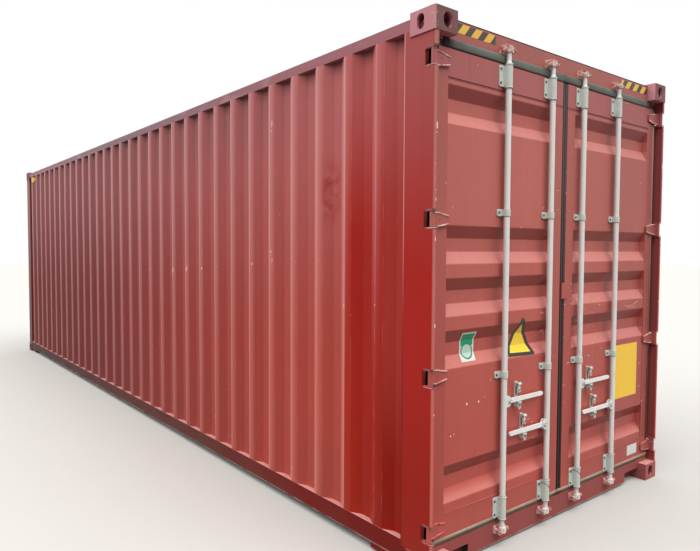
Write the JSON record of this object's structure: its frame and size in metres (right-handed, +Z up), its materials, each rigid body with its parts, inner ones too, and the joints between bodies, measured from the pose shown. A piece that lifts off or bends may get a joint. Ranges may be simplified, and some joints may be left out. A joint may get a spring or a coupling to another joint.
{
  "type": "shipping container",
  "caption": "Steel freight container with corrugated walls and roof, pressed-panel double doors on hinges, turning lock rods with cams, handles and catches, and hollow corner castings.",
  "frame": {"origin": "centre of the container's footprint, on the plane of the bottom corner castings", "axes": "+X along the length, out of the door end; +Y across, towards the right-hand door as seen from outside; +Z up"},
  "size_m": [9.125, 2.438, 2.896],
  "materials": {
    "frame_paint": "worn semi-gloss",
    "wall_paint": "faded satin",
    "door_paint": "chalky, faded",
    "underframe_paint": "dull, dirty",
    "bearing_paint": "worn satin",
    "rod_steel": "galvanised, dull",
    "seal_rubber": "matt",
    "floor_boards": "worn plywood"
  },
  "bodies": {
    "frame": {"castings_door_top": "frame_paint", "castings_door_bottom": "frame_paint", "castings_front_top": "frame_paint", "castings_front_bottom": "frame_paint", "posts_door": "frame_paint", "posts_front": "frame_paint", "side_wall_left": "wall_paint", "side_wall_right": "wall_paint", "front_wall": "wall_paint", "roof": "wall_paint", "top_rails": "wall_paint", "bottom_rails": "underframe_paint", "front_top_rail": "wall_paint", "front_bottom_rail": "underframe_paint", "door_header": "frame_paint", "door_sill": "frame_paint", "floor": "floor_boards", "cross_members": "underframe_paint", "hinge_lugs": "frame_paint", "cam_keepers": "frame_paint"},
    "door_left": {"door_frame_left": "door_paint", "door_panel_left": "door_paint", "door_seal_left": "seal_rubber", "hinge_blades_left": "frame_paint", "rod_bearings_left": "bearing_paint", "handle_catches_left": "bearing_paint"},
    "door_right": {"door_frame_right": "door_paint", "door_panel_right": "door_paint", "door_seal_right": "seal_rubber", "hinge_blades_right": "frame_paint", "rod_bearings_right": "bearing_paint", "handle_catches_right": "bearing_paint"},
    "rod_1": {"lock_rod_1": "rod_steel"},
    "handle_1": {"handle_1": "rod_steel"},
    "flap_1": {"catch_flap_1": "rod_steel"},
    "rod_2": {"lock_rod_2": "rod_steel"},
    "handle_2": {"handle_2": "rod_steel"},
    "flap_2": {"catch_flap_2": "rod_steel"},
    "rod_3": {"lock_rod_3": "rod_steel"},
    "handle_3": {"handle_3": "rod_steel"},
    "flap_3": {"catch_flap_3": "rod_steel"},
    "rod_4": {"lock_rod_4": "rod_steel"},
    "handle_4": {"handle_4": "rod_steel"},
    "flap_4": {"catch_flap_4": "rod_steel"}
  },
  "joints": [
    {"name": "door_left_hinge", "type": "hinge", "parent": "frame", "child": "door_left", "pos_m": [4.536, -1.2, 1.4475], "axis": [0, 0, -1], "range_deg": [0, 265]},
    {"name": "door_right_hinge", "type": "hinge", "parent": "frame", "child": "door_right", "pos_m": [4.536, 1.2, 1.4475], "axis": [0, 0, 1], "range_deg": [0, 265]},
    {"name": "rod_1_turn", "type": "hinge", "parent": "door_left", "child": "rod_1", "pos_m": [4.534, -0.6, 1.45], "axis": [0, 0, 1], "range_deg": [-95, 0]},
    {"name": "handle_1_lift", "type": "hinge", "parent": "rod_1", "child": "handle_1", "pos_m": [4.534, -0.56, 0.835], "axis": [1, 0, 0], "range_deg": [0, 4]},
    {"name": "flap_1_swing", "type": "hinge", "parent": "door_left", "child": "flap_1", "pos_m": [4.534, -0.46, 0.919], "axis": [0, -1, 0], "range_deg": [0, 90]},
    {"name": "rod_2_turn", "type": "hinge", "parent": "door_left", "child": "rod_2", "pos_m": [4.534, -0.174, 1.45], "axis": [0, 0, -1], "range_deg": [-95, 0]},
    {"name": "handle_2_lift", "type": "hinge", "parent": "rod_2", "child": "handle_2", "pos_m": [4.534, -0.214, 0.64], "axis": [-1, 0, 0], "range_deg": [0, 4]},
    {"name": "flap_2_swing", "type": "hinge", "parent": "door_left", "child": "flap_2", "pos_m": [4.534, -0.404, 0.724], "axis": [0, -1, 0], "range_deg": [0, 90]},
    {"name": "rod_3_turn", "type": "hinge", "parent": "door_right", "child": "rod_3", "pos_m": [4.534, 0.174, 1.45], "axis": [0, 0, 1], "range_deg": [-95, 0]},
    {"name": "handle_3_lift", "type": "hinge", "parent": "rod_3", "child": "handle_3", "pos_m": [4.534, 0.214, 0.835], "axis": [1, 0, 0], "range_deg": [0, 4]},
    {"name": "flap_3_swing", "type": "hinge", "parent": "door_right", "child": "flap_3", "pos_m": [4.534, 0.314, 0.919], "axis": [0, -1, 0], "range_deg": [0, 90]},
    {"name": "rod_4_turn", "type": "hinge", "parent": "door_right", "child": "rod_4", "pos_m": [4.534, 0.6, 1.45], "axis": [0, 0, -1], "range_deg": [-95, 0]},
    {"name": "handle_4_lift", "type": "hinge", "parent": "rod_4", "child": "handle_4", "pos_m": [4.534, 0.56, 0.64], "axis": [-1, 0, 0], "range_deg": [0, 4]},
    {"name": "flap_4_swing", "type": "hinge", "parent": "door_right", "child": "flap_4", "pos_m": [4.534, 0.37, 0.724], "axis": [0, -1, 0], "range_deg": [0, 90]}
  ]
}
